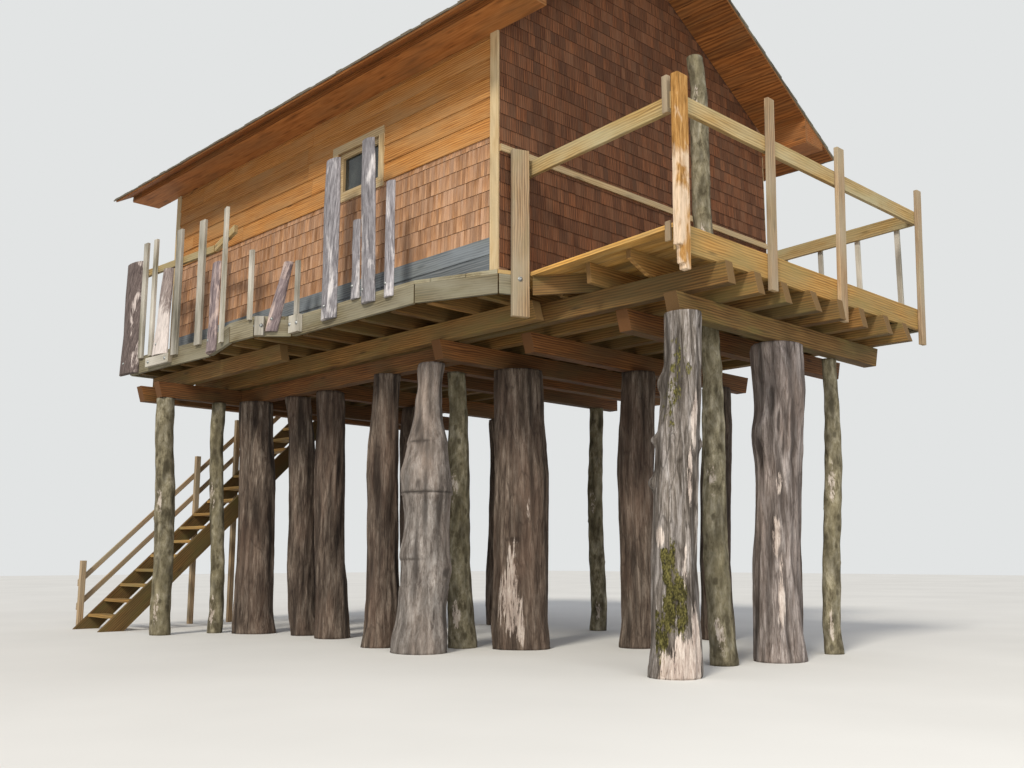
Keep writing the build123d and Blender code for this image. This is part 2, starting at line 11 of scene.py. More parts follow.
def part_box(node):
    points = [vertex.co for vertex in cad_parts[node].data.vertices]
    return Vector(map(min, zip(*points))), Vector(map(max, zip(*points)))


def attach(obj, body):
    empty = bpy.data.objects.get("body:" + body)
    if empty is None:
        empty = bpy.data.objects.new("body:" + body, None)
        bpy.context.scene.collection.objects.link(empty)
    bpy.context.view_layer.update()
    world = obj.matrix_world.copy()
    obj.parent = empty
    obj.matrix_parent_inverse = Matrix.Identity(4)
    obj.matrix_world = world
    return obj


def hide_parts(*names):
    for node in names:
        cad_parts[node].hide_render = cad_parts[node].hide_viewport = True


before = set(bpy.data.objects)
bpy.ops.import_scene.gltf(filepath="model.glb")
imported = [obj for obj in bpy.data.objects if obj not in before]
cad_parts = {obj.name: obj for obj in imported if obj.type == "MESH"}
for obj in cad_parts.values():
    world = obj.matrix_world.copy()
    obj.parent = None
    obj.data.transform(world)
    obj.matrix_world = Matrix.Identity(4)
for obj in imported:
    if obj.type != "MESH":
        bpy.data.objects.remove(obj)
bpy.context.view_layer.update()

random.seed(11)

X, Y, Z = Vector((1, 0, 0)), Vector((0, 1, 0)), Vector((0, 0, 1))

# Sizes of cladding, decking and trim, in metres
SHINGLE_COURSE, GABLE_COURSE, SHINGLE_T = 0.16, 0.14, 0.011
BOARD_COURSE, BOARD_T = 0.205, 0.02
BASE_COURSE, BASE_T = 0.17, 0.022
SHAKE_COURSE, SHAKE_T, SHAKES_OVER = 0.2, 0.02, 0.02
ROOF_BOARD, ROOF_BOARD_T = 0.14, 0.022
DECK_BOARD, DECK_GAP = 0.14, 0.007
SPLIT_H = 1.36          # shingles below, boards above, on the long walls
TRIM_W = 0.09
PLANK_T, JOIST_SET = 0.05, 0.085
ROOF_SLOPE = math.radians(30)
PORCH_LINE = (0.1138, 0.9935, 0)    # the porch's boards run along its side

# Sizes of bark, in metres
CRACK_DEPTH, MOST_IN, STEP_FADE, TRUNK_R = 0.014, -0.03, 0.2, 0.24


# Reading the CAD solids

def solids(node):
    """The separate solids of a CAD node, each as its points and faces."""
    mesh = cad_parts[node].data
    keys, index = {}, []
    for v in mesh.vertices:
        index.append(keys.setdefault(tuple(round(c, 5) for c in v.co), len(keys)))
    points = list(keys)
    parent = list(range(len(points)))

    def root(i):
        while parent[i] != i:
            parent[i] = parent[parent[i]]
            i = parent[i]
        return i

    faces = []
    for p in mesh.polygons:
        face = [index[i] for i in p.vertices]
        if len(set(face)) < 3:
            continue
        faces.append(face)
        for i in face[1:]:
            parent[root(i)] = root(face[0])
    groups = {}
    for face in faces:
        groups.setdefault(root(face[0]), []).append(face)
    found = []
    for rows in groups.values():
        used = sorted({i for face in rows for i in face})
        place = {i: k for k, i in enumerate(used)}
        found.append(([Vector(points[i]) for i in used],
                      [[place[i] for i in face] for face in rows]))

    def middle(solid):
        return tuple(round(sum(c[k] for c in solid[0]) / len(solid[0]), 2) for k in (1, 0, 2))

    found.sort(key=middle)
    return found


def span(points):
    """Lowest and highest corner of some points."""
    return (Vector([min(p[k] for p in points) for k in range(3)]),
            Vector([max(p[k] for p in points) for k in range(3)]))


def as_bmesh(points, faces):
    """A solid as a bmesh, with its flat faces whole again."""
    bm = bmesh.new()
    made = [bm.verts.new(p) for p in points]
    for face in faces:
        try:
            bm.faces.new([made[i] for i in face])
        except ValueError:      # a face that is there already
            pass
    bm.normal_update()
    bmesh.ops.dissolve_limit(bm, angle_limit=math.radians(0.8), verts=bm.verts[:],
                             edges=bm.edges[:])
    return bm


# Pieces of the scene

looks = {}


def put(name, mesh, look):
    """A mesh as an object of the scene, in one of the looks."""
    mesh.materials.append(looks[look])
    piece = bpy.data.objects.new(name, mesh)
    bpy.context.scene.collection.objects.link(piece)
    return piece


def repaint(node, look):
    """A CAD node that stays, in one of the looks."""
    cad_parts[node].data.materials.clear()
    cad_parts[node].data.materials.append(looks[look])


def add_layer(mesh, name, values, domain="POINT"):
    """A layer of numbers or vectors on a mesh's points or faces."""
    values = np.array(values, np.float32)
    kind, field = ("FLOAT_VECTOR", "vector") if values.ndim == 2 else ("FLOAT", "value")
    mesh.attributes.new(name, kind, domain).data.foreach_set(field, values.ravel())


def round_mesh(name, points, faces):
    """A mesh of tubes, smooth along their sides and flat at their caps."""
    mesh = bpy.data.meshes.new(name)
    mesh.from_pydata(points, [], faces)
    mesh.validate()
    mesh.polygons.foreach_set("use_smooth", [len(p.vertices) == 4 for p in mesh.polygons])
    return mesh


def tube(first, rows, sides):
    """The side faces of a tube made of rings of points."""
    faces = []
    for i in range(rows):
        for k in range(sides):
            a, b = first + i * sides + k, first + i * sides + (k + 1) % sides
            faces.append([a, b, b + sides, a + sides])
    return faces


BOX_FACES = [[0, 3, 2, 1], [4, 5, 6, 7], [0, 1, 5, 4], [1, 2, 6, 5], [2, 3, 7, 6], [3, 0, 4, 7]]


class Batch:
    """Timber in one mesh, each point with its place along the grain and its board's tint."""

    def __init__(self):
        self.points, self.faces, self.grain, self.tint, self.ends = [], [], [], [], []

    def add(self, points, faces, along):
        """One board or beam, with its grain along a direction."""
        along = Vector(along).normalized()
        side = along.cross(Z if abs(along.z) < 0.8 else X).normalized()
        up = side.cross(along)
        centre = sum(points, Vector()) / len(points)
        shift, tint = random.uniform(0, 40), random.random()
        first = len(self.points)
        for p in points:
            d = p - centre
            self.points.append(p)
            self.grain.append((d.dot(along) + shift, d.dot(side), d.dot(up)))
            self.tint.append(tint)
        for face in faces:
            a, b, c = (points[i] for i in face[:3])
            n = (b - a).cross(c - a)
            self.faces.append([first + i for i in face])
            self.ends.append(float(n.length > 0 and abs(n.normalized().dot(along)) > 0.75))

    def board(self, corner, along, length, across, out, thin=1.0, grain=None):
        """A board from a corner, thinner at its far edge across where thin is under one."""
        run = along * length
        near = [corner, corner + run, corner + run + out, corner + out]
        far = [corner + across, corner + run + across, corner + run + across + out * thin,
               corner + across + out * thin]
        self.add(near + far, BOX_FACES, along if grain is None else grain)

    def build(self, name, look, slot, replaced=()):
        """The piece of the scene."""
        mesh = bpy.data.meshes.new(name)
        mesh.from_pydata(self.points, [], self.faces)
        mesh.validate()
        add_layer(mesh, "grain", self.grain)
        add_layer(mesh, "tint", self.tint)
        if len(mesh.polygons) == len(self.ends):
            add_layer(mesh, "end", self.ends, "FACE")
        piece = put(name, mesh, look)
        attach(piece, "root")
        if replaced:
            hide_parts(*replaced)


def worn(points, faces, chamfer=0.004, step=0.3, wobble=0.0015, along=None):
    """A timber with rounded edges, cut across its length and slightly uneven, and its axis."""
    bm = as_bmesh(points, faces)
    if along is None:
        along = max(((e.verts[1].co - e.verts[0].co) for e in bm.edges), key=lambda d: d.length)
    along = along.normalized()
    bmesh.ops.bevel(bm, geom=bm.edges[:], offset=chamfer, segments=2, profile=0.6,
                    affect="EDGES", clamp_overlap=True)
    reach = [v.co.dot(along) for v in bm.verts]
    start, length = min(reach), max(reach) - min(reach)
    cuts = int(length / step)
    for i in range(1, cuts + 1):
        at = start + length * i / (cuts + 1)
        bmesh.ops.bisect_plane(bm, geom=bm.verts[:] + bm.edges[:] + bm.faces[:],
                               plane_co=along * at, plane_no=along)
    bm.normal_update()
    moves = []
    for v in bm.verts:
        n = noise.noise(v.co * 3.1) + 0.5 * noise.noise(v.co * 11.0)
        moves.append(v.normal * (-abs(n) * wobble))
    for v, move in zip(bm.verts, moves):
        v.co += move
    bm.verts.index_update()
    made, rows = [v.co.copy() for v in bm.verts], [[v.index for v in f.verts] for f in bm.faces]
    bm.free()
    return made, rows, along


def timbers(node, look, slot, chamfer=0.004, wobble=0.0015, name=None, shape=None, only=None):
    """A CAD node of sawn timbers, or those of its solids that are wanted, worn."""
    batch = Batch()
    for points, faces in solids(node):
        if only is None or only(*span(points)):
            points = shape(points) if shape else points
            batch.add(*worn(points, faces, chamfer, wobble=wobble))
    batch.build(name or "worn_" + node, look, slot, [node])


# Materials

class Maker:
    """Short calls for adding shader nodes to one tree."""

    def __init__(self, tree):
        self.tree = tree

    def fill(self, node, sockets):
        """Each named or numbered socket of a node, linked to another one or set."""
        for key, value in sockets.items():
            if isinstance(value, bpy.types.NodeSocket):
                self.tree.links.new(value, node.inputs[key])
            else:
                node.inputs[key].default_value = value
        return node

    def add(self, kind, sockets=None, **settings):
        node = self.tree.nodes.new(kind)
        for key, value in settings.items():
            setattr(node, key, value)
        return self.fill(node, sockets or {})

    def attribute(self, name, socket="Fac"):
        return self.add("ShaderNodeAttribute", attribute_name=name).outputs[socket]

    def place(self):
        return self.add("ShaderNodeTexCoord").outputs["Object"]

    def scaled(self, source, scale, move=(0, 0, 0)):
        sockets = {"Vector": source, "Scale": scale, "Location": move}
        return self.add("ShaderNodeMapping", sockets).outputs["Vector"]

    def noise(self, source, scale, detail, rough, warp=0.0):
        sockets = {"Vector": source, "Scale": scale, "Detail": detail, "Roughness": rough,
                   "Distortion": warp}
        return self.add("ShaderNodeTexNoise", sockets).outputs["Fac"]

    def cells(self, source, feature="F1"):
        sockets = {"Vector": source, "Scale": 1.0}
        return self.add("ShaderNodeTexVoronoi", sockets, feature=feature).outputs["Distance"]

    def waves(self, source, scale, warp, **kind):
        sockets = {"Vector": source, "Scale": scale, "Distortion": warp}
        return self.add("ShaderNodeTexWave", sockets, **kind).outputs["Fac"]

    def ramp(self, source, places, tones):
        """A colour ramp with a tone at each place."""
        node = self.add("ShaderNodeValToRGB", {"Fac": source})
        marks = node.color_ramp.elements
        while len(marks) > 1:
            marks.remove(marks[-1])
        for i, (at, tone) in enumerate(zip(places, tones)):
            mark = marks[0] if i == 0 else marks.new(at)
            mark.position = at
            mark.color = tone
        return node.outputs["Color"]

    def spread(self, source, low, high, to_low=0.0, to_high=1.0):
        """A value between low and high, made one between to_low and to_high."""
        sockets = {"Value": source, "From Min": low, "From Max": high, "To Min": to_low,
                   "To Max": to_high}
        return self.add("ShaderNodeMapRange", sockets).outputs["Result"]

    def mix(self, fac, a, b, blend="MIX"):
        return self.add("ShaderNodeMix", {0: fac, 6: a, 7: b}, data_type="RGBA",
                        blend_type=blend).outputs[2]

    def maths(self, kind, a, b):
        return self.add("ShaderNodeMath", {0: a, 1: b}, operation=kind).outputs[0]

    def times(self, a, b):
        return self.maths("MULTIPLY", a, b)

    def total(self, *terms):
        """A weighted sum of sockets, each written as a socket and its weight."""
        whole = None
        for source, weight in terms:
            part = source if weight == 1 else self.times(source, weight)
            whole = part if whole is None else self.maths("ADD", whole, part)
        return whole

    def shaded(self, colour, shade):
        """A colour times a plain grey value."""
        grey = self.add("ShaderNodeCombineColor", {k: shade for k in range(3)})
        return self.mix(1.0, colour, grey.outputs[0], "MULTIPLY")

    def patch(self, layer, breaker, by, edge, gate):
        """A patch from a point layer: noise breaks its edge, and none is where the layer is 0."""
        share = self.attribute(layer)
        broken = self.total((share, 1), (self.spread(breaker, 0.8, 1.2, *by), 1))
        return self.times(self.spread(broken, *edge), self.spread(share, 0.02, gate))

    def surface(self, colour, rough, gloss=0.5, height=None, strength=1.0, depth=1.0, **more):
        """The shader's colour, roughness and gloss, and a bump of some strength and depth."""
        sockets = {"Base Color": colour, "Roughness": rough, "Specular IOR Level": gloss, **more}
        if height is not None:
            bump = {"Strength": strength, "Distance": depth, "Height": height}
            sockets["Normal"] = self.add("ShaderNodeBump", bump).outputs["Normal"]
        self.fill(self.tree.nodes["Principled BSDF"], sockets)


def new_look(name):
    """An empty material, kept by its name, and the maker for its nodes."""
    looks[name] = bpy.data.materials.new(name)
    looks[name].use_nodes = True
    return Maker(looks[name].node_tree)


def colours(codes):
    """Colours written as hex codes, made linear."""
    def linear(v):
        return (v / 255 / 12.92) if v <= 10 else ((v / 255 + 0.055) / 1.055) ** 2.4

    return [(*map(linear, bytes.fromhex(code)), 1) for code in codes.split()]


def dim(colour, by):
    return (*(c * by for c in colour[:3]), 1)


def timber_look(name, codes, grey_share, green=0.0, streak=1.0, rough=0.75, tint_spread=0.25):
    """Weathered softwood: long streaks, growth rings, knots, greyed and greened patches."""
    m = new_look(name)
    dark, middle, light, end, grey = colours(codes)
    grain = m.attribute("grain", "Vector")
    streaks = m.noise(m.scaled(grain, (1.2, 34, 34)), 1.6, 8, 0.62, 0.3)
    fine = m.noise(m.scaled(grain, (5, 160, 160)), 1.5, 4, 0.6)
    broad = m.noise(m.scaled(grain, (0.9, 3.2, 3.2)), 1.3, 4, 0.5)
    rings = m.waves(m.scaled(grain, (0.25, 1.4, 1.4)), 9, 5, wave_type="BANDS",
                    bands_direction="Z")
    mixed = m.total((streaks, 0.6), (rings, 0.22), (fine, 0.18))
    colour = m.ramp(mixed, (0.28, 0.5, 0.72), (dark, middle, light))
    knot = m.spread(m.cells(m.scaled(grain, (1.6, 7, 7))), 0.05, 0.16, 1.0, 0.0)
    colour = m.mix(m.times(knot, 0.75), colour, dim(dark, 0.45))
    weather = m.spread(m.total((broad, 1), (fine, 0.25)), 0.62 - 0.3 * grey_share, 0.8)
    colour = m.mix(m.times(weather, min(1.0, 0.4 + grey_share)), colour, grey)
    if green:
        patches = m.noise(m.scaled(grain, (1.1, 4, 4), (3, 1, 7)), 1.7, 5, 0.6)
        colour = m.mix(m.spread(patches, 0.5, 0.72, 0, green), colour, *colours("686834"))
    tint = m.spread(m.attribute("tint"), 0, 1, 1 - tint_spread, 1 + tint_spread)
    colour = m.shaded(colour, tint)
    end_rings = m.waves(m.scaled(grain, (0, 1, 1), (0, 0.03, 0.05)), 28, 1.5,
                        wave_type="RINGS", rings_direction="X")
    end_colour = m.ramp(end_rings, (0, 1), (dim(end, 0.72), end))
    colour = m.mix(m.attribute("end"), colour, end_colour)
    m.surface(colour, m.spread(streaks, 0.2, 0.8, min(1.0, rough + 0.12), rough - 0.08), 0.3,
              m.total((streaks, 0.7), (fine, 0.3)), 0.55 * streak, 0.004)


def bark_look(name, codes, moss=0.0, pale=0.0, upright=0.12, scale=1.0, scars=0.0, cracked=0.55):
    """Bark: fibres or plates by the noise's stretch upright, with moss and bare patches."""
    m = new_look(name)
    dark, middle, light, patch = colours(codes)
    place = m.place()

    def stretched(wide, high, detail, rough, warp=0.0):
        return m.noise(m.scaled(place, (wide, wide, high)), 1.0, detail, rough, warp)

    fibres = stretched(26 * scale, 26 * scale * upright, 9, 0.68, 0.5)
    strands = stretched(75 * scale, 45 * scale * upright, 6, 0.7, 0.8)
    plates = stretched(7, 7 * upright * 2, 6, 0.6, 0.6)
    broad = stretched(2.4, 0.9, 4, 0.5)
    speck = stretched(90, 45, 3, 0.6)
    mixed = m.total((fibres, 0.42), (plates, 0.26), (strands, 0.32))
    colour = m.ramp(mixed, (0.40, 0.495, 0.59), (dark, middle, light))
    colour = m.mix(m.spread(broad, 0.45, 0.7, 0, 0.6), colour, patch)
    # Painted shade: bark darkened where the furrow share is low, in the mesh's hollows and cracks
    furrow = m.spread(m.attribute("furrow"), 0.15, 0.85, 0.85, 0)
    colour = m.mix(furrow, colour, dim(dark, 0.35))
    bend = m.scaled(m.add("ShaderNodeTexNoise").outputs["Color"], (0.9, 0.9, 0.9))
    bent = m.scaled(place, (17 * scale, 17 * scale, 17 * scale * upright))
    bent = m.add("ShaderNodeVectorMath", {0: bent, 1: bend}, operation="ADD")
    lines = m.cells(bent.outputs[0], "DISTANCE_TO_EDGE")
    crack = m.spread(m.total((lines, 1), (strands, 0.12)), 0.06, 0.13, 1, 0)
    colour = m.mix(m.times(crack, cracked), colour, dim(dark, 0.45))
    if scars:
        marks = m.cells(m.scaled(place, (9, 9, 5.5)))
        mark = m.spread(m.total((marks, 1), (speck, 0.2)), 0.24, 0.34, 1, 0)
        colour = m.mix(m.times(mark, scars), colour, dim(dark, 0.6))
    if moss:
        tufts = stretched(22, 14, 6, 0.65)
        green = m.ramp(m.total((tufts, 0.5), (speck, 0.5)), (0.40, 0.5, 0.62),
                       colours("18160c 3e3a1c 6c663a"))
        mossy = m.patch("moss", m.total((tufts, 1), (fibres, 1)), (-0.75, 0.45), (0.3, 0.6), 0.3)
        colour = m.mix(m.times(mossy, moss), colour, green)
    if pale:
        wood = m.ramp(m.total((fibres, 0.5), (strands, 0.5)), (0.38, 0.5, 0.6),
                      colours("8a766c b6a69a d8ccc0"))
        bare = m.patch("bare", m.total((strands, 1), (fibres, 1)), (-0.6, 0.6), (0.4, 0.62), 0.25)
        colour = m.mix(m.times(bare, pale), colour, wood)
    pits = m.times(m.spread(speck, 0.3, 0.42, 1, 0), 0.35)
    colour = m.mix(pits, colour, dim(dark, 0.5))
    height = m.total((fibres, 0.5), (strands, 0.4), (speck, 0.15), (crack, -0.6 * cracked))
    m.surface(colour, 0.9, 0.15, height, 0.85, 0.011)


def slab_look(name, codes, low, high, barer_below=None):
    """A log's outside slab: fibrous bark, bleached bare where noise goes from low to high."""
    m = new_look(name)
    dark, middle, light, bleached = colours(codes)
    grain = m.attribute("grain", "Vector")
    fibres = m.noise(m.scaled(grain, (3, 30, 30)), 1.4, 8, 0.66, 0.5)
    fine = m.noise(m.scaled(grain, (7, 120, 120)), 1.4, 5, 0.6, 0.3)
    mixed = m.total((fibres, 0.6), (fine, 0.4))
    colour = m.ramp(mixed, (0.38, 0.5, 0.62), (dark, middle, light))
    patches = m.noise(m.scaled(grain, (1.9, 5, 5), (5, 2, 1)), 1.0, 6, 0.62, 0.6)
    if barer_below:
        height = m.add("ShaderNodeSeparateXYZ", {0: m.place()}).outputs["Z"]
        more = m.spread(height, barer_below, barer_below + 0.25, 0.2, 0)
        patches = m.total((patches, 1), (more, 1))
    bare = m.spread(m.total((patches, 1), (fibres, 0.2)), low, high)
    wood = m.ramp(mixed, (0.36, 0.56), (dim(bleached, 0.62), bleached))
    colour = m.mix(bare, colour, wood)
    colour = m.shaded(colour, m.spread(m.attribute("tint"), 0, 1, 0.82, 1.12))
    m.surface(colour, 0.85, 0.2, m.total((mixed, 1), (bare, -0.25)), 0.7, 0.006)


# Dark, middle, light, end grain and weathered colour, then how much is weathered, how much
# green, the depth of the streaks, the roughness and how far boards differ
for row in (
        ("beam_wood", "3c2812 684c26 8a683a 624828 5a5030", 0.35, 0.4),
        ("rear_wood", "361e0d 68401c 905e30 684422 5a462c", 0.3, 0.1),
        ("joist_wood", "402a12 725026 966e3a 705632 665836", 0.35, 0.25),
        ("plank_wood", "563818 8c622e b08248 785a32 78663e", 0.3, 0.2),
        ("front_wood", "6c4c22 a0763a c29656 aa8c5c 86784e", 0.4, 0.25),
        ("fascia_wood", "3c3222 665a40 8a7e62 82704e 8c8672", 0.55, 0.15),
        ("deck_wood", "785424 b0823e cea058 b09260 927c54", 0.3, 0.15),
        ("post_wood", "5c4834 8c7254 b09470 aa906a 968a74", 0.45, 0.2),
        ("rail_wood", "68502a 9a7c4a bca06c b09466 a69c7a", 0.45, 0.2),
        ("grey_wood", "4a4438 726c5c 989282 968a76 beb8ac", 0.5, 0.15),
        ("shingle_wood", "6a462a 9c6e46 bc9068 6a482e b29076", 0.45, 0.0, 1.1, 0.8, 0.2),
        # Darker copy of the shingle look for the porch wall: partly the shingles' own reddish
        # brown, partly painted shade
        ("dark_shingle_painted_shade", "321c0e 5c361e 825230 422818 604430", 0.35, 0.0, 1.3, 0.8, 0.3),
        ("siding_wood", "72441c a26c32 c28c4e 8e6032 a07c50", 0.25, 0.0, 1.0, 0.7, 0.16),
        ("soffit_wood", "543014 885224 ac703a 865a30 805a36", 0.2, 0.0, 1.0, 0.7, 0.2),
        ("trim_wood", "846c48 b0966c cab48c a68c64 a69678", 0.35, 0.05, 0.7, 0.65, 0.1),
        ("roof_wood", "46423a 706a5e 928a7a 786e5e 807e70", 0.5, 0.2, 1.4, 0.85, 0.3),
        ("base_wood", "383c3e 5e6264 7c7e7e 60605e 70767a", 0.5, 0.1)):
    timber_look(*row)
# Dark, middle, light and bleached colour, the noise over which bark turns bare, and the
# height in metres below which more of it does
for row in (
        ("slab_bark", "3e3432 625652 847670 cec0b8", 0.66, 0.72),
        ("slab_pale", "605450 8c7e78 ac9e96 e2d6ce", 0.6, 0.72, 3.95),
        ("slab_violet", "4e4446 7a6c6c 9e908e ccb6aa", 0.58, 0.72),
        ("slab_grey", "545052 827e80 a8a4a6 d4cecc", 0.62, 0.74),
        ("peeled_wood", "704e24 a0743c c0945a dac0a2", 0.68, 0.8, 4.15)):
    slab_look(*row)
# Dark, middle, light and patch colour
bark_look("bark_corner", "443c34 827970 c2bab4 7c746e", moss=1.0, pale=0.9)
bark_look("bark_front", "504640 8c817a bcb2ac 928074", pale=0.8, cracked=0.35)
bark_look("bark_brown", "382e28 6a5c50 948678 705a4c", moss=0.4, pale=0.6, cracked=0.35)
bark_look("bark_knobbly", "58504a 8e857d b0a9a2 928072", pale=0.3, upright=0.25, scale=0.8,
          cracked=0.15)
bark_look("bark_pole", "544c3a 8c836a b0a892 7a7156", moss=0.15, pale=0.6, upright=0.5,
          scale=0.5, scars=0.7, cracked=0.0)

metal = new_look("bolt_metal")
spots = metal.noise(metal.scaled(metal.place(), (60, 60, 60)), 1.0, 5, 0.6)
rust = metal.ramp(spots, (0.4, 0.62, 0.75), colours("787a7a b6b8b6 806046"))
metal.surface(rust, metal.spread(spots, 0.3, 0.7, 0.35, 0.6), Metallic=0.8)

glass = new_look("window_pane")
film = glass.noise(glass.scaled(glass.place(), (5, 5, 5)), 1.0, 5, 0.6)
dust = glass.ramp(film, (0.4, 0.7), colours("1e2222 3e423e"))
glass.surface(dust, glass.spread(film, 0.3, 0.7, 0.04, 0.12), 0.6, Alpha=0.85)


# Trunks

def ring_reader(points, faces):
    """Two readings of a trunk: the middle of its section at a height, its radius to a side."""
    tree = BVHTree.FromPolygons(points, faces)
    edges = {tuple(sorted((f[i], f[i - 1]))) for f in faces for i in range(len(f))}

    def middle(z):
        hits = []
        for i, j in edges:
            a, b = points[i], points[j]
            if (a.z - z) * (b.z - z) < 0:
                hits.append(a.lerp(b, (z - a.z) / (b.z - a.z)))
        low, high = span(hits)
        return Vector(((low.x + high.x) / 2, (low.y + high.y) / 2, z))

    def radius(centre, angle):
        hit = tree.ray_cast(centre, Vector((math.cos(angle), math.sin(angle), 0)))
        return (hit[0] - centre).length if hit[0] else None

    return middle, radius


def turn_from(angle, degrees):
    """The turn from a side in degrees to an angle, the short way round."""
    return (angle - math.radians(degrees) + math.pi) % (2 * math.pi) - math.pi


def swelling(rise, angle, knot):
    """Height of one knot at a place: a knot is a height, a side, a size and how far it stands."""
    at_z, side, size, high = knot
    far = ((rise - at_z) / size) ** 2 + (turn_from(angle, side) * TRUNK_R / size) ** 2
    return high * math.exp(-far)


def patch_share(rise, angle, patches, rough):
    """How much of a place patches cover: height, side, two half sizes and strength of each."""
    share = 0.0
    for at_z, side, half_z, half_angle, strength in patches:
        turn = turn_from(angle, side) / math.radians(half_angle)
        far = math.hypot((rise - at_z) / half_z, turn) + 0.45 * rough
        share = max(share, strength * max(0.0, min(1.0, (1.15 - far) * 2)))
    return share


def bark_at(at, z, rise, angle, style):
    """How far bark stands out at a place, and its shares of furrow, moss and bare wood; the furrow
    share is low in hollows and cracks, where the bark look paints shade.
    """
    x, y, pitch = at.x, at.y, style["pitch"]
    fibre = noise.fractal(Vector((x * 17, y * 17, z * pitch)), 0.9, 2.1, 4)
    ridge = 1 - abs(noise.noise(Vector((x * 11 + 5, y * 11, z * pitch * 0.6)))) * 2
    lump = noise.noise(Vector((x * 3.1 + 9, y * 3.1, z * style["lump_pitch"])))
    furrow = style["fibre"] * fibre + style["ridge"] * (ridge - 0.5)
    push = furrow + style["lump"] * lump
    waver = 2.2 * noise.noise(Vector((x * 2, y * 2, z * 2.0)))
    push += style["rings"] * math.sin(z * style["ring_pitch"] + waver)
    for knot in style["knots"]:
        push += swelling(rise, angle, knot)
    for at_z, by in style["steps"]:
        above = rise - at_z - 0.02 * math.sin(2 * angle)
        push += by * math.exp(-above / STEP_FADE) if above > 0 else 0.0
    rough = noise.fractal(Vector((x * 7, y * 7, z * 3)), 0.9, 2.0, 4)
    split = patch_share(rise, angle, style["cracks"], rough)
    # The furrow share, low where the bark sinks and in cut cracks, drives the painted shade of the
    # bark look
    depth = 0.5 + furrow / (1.6 * (style["fibre"] + style["ridge"]))
    return (push - CRACK_DEPTH * split, max(0.0, min(1.0, depth)) * (1 - 0.9 * split),
            patch_share(rise, angle, style["moss"], rough),
            patch_share(rise, angle, style["bare"], rough))


def trunk_piece(node, styles, look):
    """All trunks of a node, with furrowed bark, knots, swellings and sawn tops."""
    made, rows, shares = [], [], []
    for index, (points, faces) in enumerate(solids(node)):
        style = styles[min(index, len(styles) - 1)]
        middle, radius = ring_reader(points, faces)
        low, high = span(points)
        levels, sides, first = style["levels"], style["sides"], len(made)
        for i in range(levels + 1):
            z = low.z + (high.z - low.z) * i / levels
            centre = middle(min(max(z, low.z + 0.002), high.z - 0.002))
            fade = min(1.0, (high.z - z) / 0.06 + 0.15, (z - low.z) / 0.03 + 0.3)
            out = 0.2
            for k in range(sides):
                angle = 2 * math.pi * k / sides
                out = radius(centre, angle) or out
                side = Vector((math.cos(angle), math.sin(angle), 0))
                at = Vector((centre.x + side.x * out, centre.y + side.y * out, z))
                push, *share = bark_at(at, z, z - low.z, angle, style)
                made.append(at + side * (max(MOST_IN, min(style["most"], push)) * fade))
                shares.append(share)
        rows += tube(first, levels, sides)
        rows.append([first + k for k in range(sides)][::-1])
        rows.append([first + levels * sides + k for k in range(sides)])
    mesh = round_mesh("bark_" + node, made, rows)
    # The furrow layer carries the painted shade of the bark's hollows
    for layer, values in zip(("furrow", "moss", "bare"), zip(*shares)):
        add_layer(mesh, layer, values)
    piece = put("bark_" + node, mesh, look)
    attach(piece, "root")
    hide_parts(node)


# The camera looks along +X and +Y, so sides near 215 degrees face it
fibrous = dict(fibre=0.008, ridge=0.012, lump=0.014, pitch=1.7, lump_pitch=1.6, rings=0,
               ring_pitch=18, knots=(), steps=(), cracks=(), moss=(), bare=(), most=0.03)
corner_style = dict(
    fibrous, levels=170, sides=110, most=0.055,
    knots=((2.40, 138, 0.085, 0.045), (1.92, 136, 0.045, 0.05), (1.56, 138, 0.055, 0.055),
           (1.92, 205, 0.05, 0.02), (1.88, 318, 0.05, 0.03)),
    moss=((0.62, 216, 0.34, 34, 1.0), (0.86, 200, 0.22, 30, 0.9), (0.28, 184, 0.26, 26, 0.9),
          (2.4, 196, 0.5, 40, 0.45)),
    bare=((0.10, 226, 0.24, 60, 1.0), (0.28, 262, 0.34, 16, 1.0), (2.1, 258, 0.36, 13, 0.8),
          (1.62, 248, 0.3, 8, 0.7), (1.12, 170, 0.1, 16, 0.6), (0.9, 236, 0.2, 8, 0.5)))
front_style = dict(
    fibrous, levels=170, sides=110, lump=0.018, most=0.06,
    knots=((2.1, 150, 0.2, 0.05), (2.02, 245, 0.09, 0.02), (2.75, 226, 0.16, 0.015)),
    cracks=((2.42, 196, 0.14, 5, 1.0), (2.2, 212, 0.14, 4, 1.0), (2.0, 222, 0.14, 4, 1.0),
            (2.28, 232, 0.2, 3, 0.7), (1.95, 164, 0.12, 9, 0.9)),
    bare=((1.12, 210, 0.2, 11, 0.75), (0.55, 224, 0.32, 11, 0.9), (1.62, 214, 0.14, 8, 0.5)))
bare_style = dict(
    fibrous, levels=140, sides=90, fibre=0.007,
    bare=((0.62, 205, 0.5, 17, 0.8), (0.3, 222, 0.28, 12, 0.7), (0.5, 180, 0.3, 8, 0.5),
          (1.5, 240, 0.12, 4, 0.7)),
    cracks=((1.14, 205, 0.03, 22, 0.5), (1.4, 196, 0.3, 3, 0.6)))
